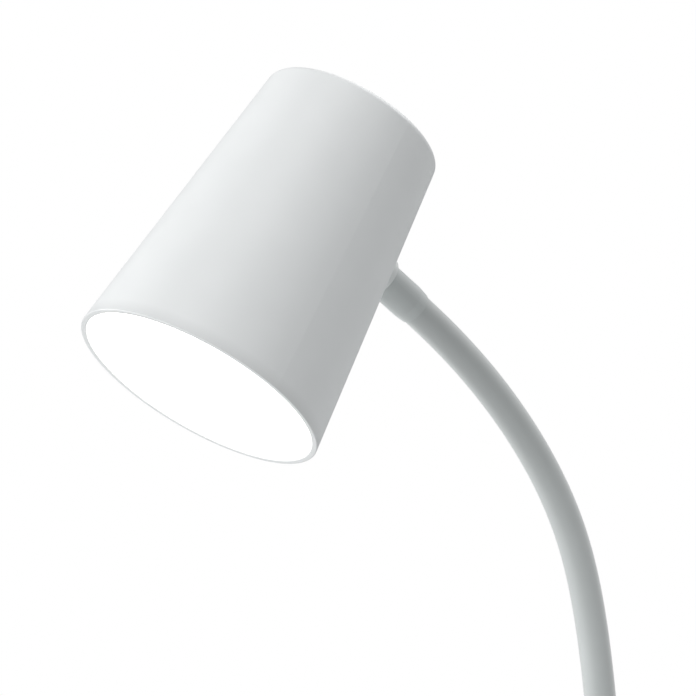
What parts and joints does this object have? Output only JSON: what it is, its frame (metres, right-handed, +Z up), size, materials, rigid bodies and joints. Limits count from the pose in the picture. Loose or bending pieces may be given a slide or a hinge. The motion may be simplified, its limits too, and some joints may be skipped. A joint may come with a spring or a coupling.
{
  "type": "clip on reading lamp",
  "caption": "Reading lamp with a sprung clip, a flexible sleeved arm and a swivelling conical shade that holds a recessed light disc.",
  "frame": {"origin": "middle of the upper pad's grip face, where the board's top surface lies", "axes": "+Z up, away from the board; -Y forward, the way the arm leans and the clip's mouth opens; X across, with X = 0 the lamp's middle plane"},
  "size_m": [0.07, 0.2119, 0.3744],
  "materials": {
    "shade_white": "satin",
    "collar_white": "satin",
    "steel": "brushed",
    "diffuser_opal": "matte, lit from behind",
    "reflector_white": "satin",
    "led_board_white": "white lacquer",
    "led_phosphor": "clear resin",
    "sink_aluminium": "satin",
    "wire_sleeve": "matte",
    "ferrule_white": "satin",
    "clip_white": "satin",
    "pad_rubber": "matte",
    "circuit_green": "lacquered",
    "component_black": "satin",
    "light_pipe": "clear",
    "button_grey": "soft touch",
    "sleeve_silicone": "matte",
    "core_aluminium": "satin"
  },
  "bodies": {
    "clip": {"clip_housing": "clip_white", "clip_base": "clip_white", "base_screws": "steel", "upper_pad": "pad_rubber", "arm_socket": "ferrule_white", "arm_nut": "steel", "driver_board": "circuit_green", "driver_parts": "component_black", "tact_switch": "component_black", "usb_socket": "steel", "board_screws": "steel", "indicator": "light_pipe", "clip_lead": "wire_sleeve", "hinge_pin": "steel", "pin_clip": "steel", "jaw_spring": "steel", "sleeve_0": "sleeve_silicone", "core_0": "core_aluminium", "cable_0": "wire_sleeve"},
    "button": {"button": "button_grey"},
    "jaw": {"lower_jaw": "clip_white", "lower_pad": "pad_rubber"},
    "arm_1": {"sleeve_1": "sleeve_silicone", "core_1": "core_aluminium", "cable_1": "wire_sleeve"},
    "arm_2": {"sleeve_2": "sleeve_silicone", "core_2": "core_aluminium", "cable_2": "wire_sleeve"},
    "arm_3": {"sleeve_3": "sleeve_silicone", "core_3": "core_aluminium", "cable_3": "wire_sleeve"},
    "arm_4": {"sleeve_4": "sleeve_silicone", "core_4": "core_aluminium", "cable_4": "wire_sleeve"},
    "arm_5": {"sleeve_5": "sleeve_silicone", "core_5": "core_aluminium", "cable_5": "wire_sleeve"},
    "arm_6": {"sleeve_6": "sleeve_silicone", "core_6": "core_aluminium", "cable_6": "wire_sleeve"},
    "arm_7": {"sleeve_7": "sleeve_silicone", "core_7": "core_aluminium", "cable_7": "wire_sleeve"},
    "arm_8": {"sleeve_8": "sleeve_silicone", "core_8": "core_aluminium", "cable_8": "wire_sleeve", "top_ferrule": "ferrule_white", "swivel_washer": "steel", "swivel_nut": "steel"},
    "head": {"shade": "shade_white", "swivel_collar": "collar_white", "collar_nut": "steel", "diffuser": "diffuser_opal", "reflector": "reflector_white", "led_board": "led_board_white", "led_chips": "led_phosphor", "heat_sink": "sink_aluminium", "head_screws": "steel", "led_lead": "wire_sleeve"}
  },
  "joints": [
    {"name": "arm_bend_1", "type": "hinge", "parent": "clip", "child": "arm_1", "pos_m": [0, 0.02, 0.056], "axis": [1, 0, 0], "range_deg": [-30, 30]},
    {"name": "arm_bend_2", "type": "hinge", "parent": "arm_1", "child": "arm_2", "pos_m": [0, 0.01991, 0.09], "axis": [0, 0.9999, 0.0105], "range_deg": [-30, 30]},
    {"name": "arm_bend_3", "type": "hinge", "parent": "arm_2", "child": "arm_3", "pos_m": [0, 0.0189, 0.12398], "axis": [1, 0, 0], "range_deg": [-30, 30]},
    {"name": "arm_bend_4", "type": "hinge", "parent": "arm_3", "child": "arm_4", "pos_m": [0, 0.01628, 0.15788], "axis": [0, 0.9951, 0.0993], "range_deg": [-30, 30]},
    {"name": "arm_bend_5", "type": "hinge", "parent": "arm_4", "child": "arm_5", "pos_m": [0, 0.01209, 0.19161], "axis": [1, 0, 0], "range_deg": [-30, 30]},
    {"name": "arm_bend_6", "type": "hinge", "parent": "arm_5", "child": "arm_6", "pos_m": [0, 0.00327, 0.22437], "axis": [0, 0.9252, 0.3795], "range_deg": [-30, 30]},
    {"name": "arm_bend_7", "type": "hinge", "parent": "arm_6", "child": "arm_7", "pos_m": [0, -0.01468, 0.25309], "axis": [1, 0, 0], "range_deg": [-30, 30]},
    {"name": "arm_bend_8", "type": "hinge", "parent": "arm_7", "child": "arm_8", "pos_m": [0, -0.03878, 0.277], "axis": [0, 0.6293, 0.7771], "range_deg": [-30, 30]},
    {"name": "head_swivel", "type": "hinge", "parent": "arm_8", "child": "head", "pos_m": [0, -0.08943, 0.31377], "axis": [0, 0.8141, -0.5807], "range_deg": [-90, 90]},
    {"name": "button_press", "type": "slide", "parent": "clip", "child": "button", "axis": [0, 0, -1], "range_m": [0, 0.0006], "stiffness_N_per_m": 800, "springref_m": -0.001},
    {"name": "jaw_open", "type": "hinge", "parent": "clip", "child": "jaw", "pos_m": [0, 0.034, -0.0032], "axis": [1, 0, 0], "range_deg": [0, 32], "stiffness_Nm_per_rad": 0.7, "springref_deg": -28.65, "deforming": ["jaw_spring"]}
  ]
}
